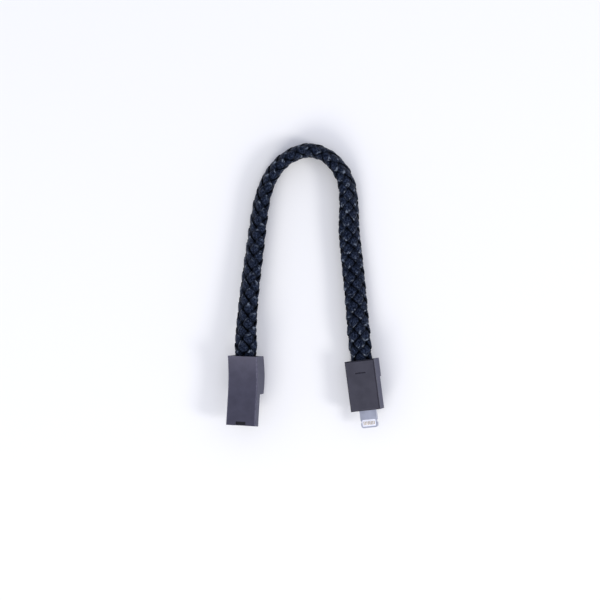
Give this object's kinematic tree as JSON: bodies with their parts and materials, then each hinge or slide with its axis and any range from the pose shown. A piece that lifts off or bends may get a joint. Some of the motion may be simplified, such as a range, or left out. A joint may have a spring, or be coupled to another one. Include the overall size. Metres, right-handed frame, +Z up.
{
  "type": "braided leather charging bracelet cable",
  "caption": "Short charging cable worn as a bracelet: a braided black leather band between a curved flat-plug housing and a housing with a reversible tab plug.",
  "frame": {"origin": "centre of the two housings' footprint on the surface the cable lies on", "axes": "+X from the flat-plug housing to the tab housing, +Y from the housings towards the loop of the band, +Z up from the surface"},
  "size_m": [0.0616, 0.1113, 0.014],
  "materials": {
    "gunmetal": "satin",
    "dark_cap": "satin",
    "black_moulding": "matte",
    "white_moulding": "gloss",
    "plug_steel": "satin",
    "gold_plate": "polished",
    "solder_tin": "satin",
    "board_green": "satin",
    "chip_black": "matte",
    "capacitor_tan": "matte",
    "clear_glue": "satin",
    "wire_red": "satin",
    "wire_white": "satin",
    "wire_green": "satin",
    "wire_black": "satin",
    "black_leather": "semi-gloss",
    "cable_jacket": "matte"
  },
  "bodies": {
    "root": {"usb_housing": "gunmetal", "usb_end_cap": "dark_cap", "usb_tongue": "black_moulding", "usb_contacts": "gold_plate", "usb_board": "board_green", "usb_resistors": "chip_black", "usb_solder_joints": "solder_tin", "usb_crimp": "solder_tin", "usb_potting": "clear_glue", "usb_wire_red": "wire_red", "usb_wire_white": "wire_white", "usb_wire_green": "wire_green", "usb_wire_black": "wire_black", "tab_housing": "gunmetal", "tab_cover": "gunmetal", "tab_end_cap": "dark_cap", "tab_front_block": "black_moulding", "plug_frame": "plug_steel", "plug_insulator": "white_moulding", "plug_contacts_front": "gold_plate", "plug_contacts_back": "gold_plate", "tab_board": "board_green", "tab_chip": "chip_black", "tab_capacitors": "capacitor_tan", "tab_solder_joints": "solder_tin", "tab_crimp": "solder_tin", "tab_potting": "clear_glue", "tab_wire_red": "wire_red", "tab_wire_white": "wire_white", "tab_wire_green": "wire_green", "tab_wire_black": "wire_black", "leather_band": "black_leather", "data_cable": "cable_jacket"}
  },
  "joints": []
}
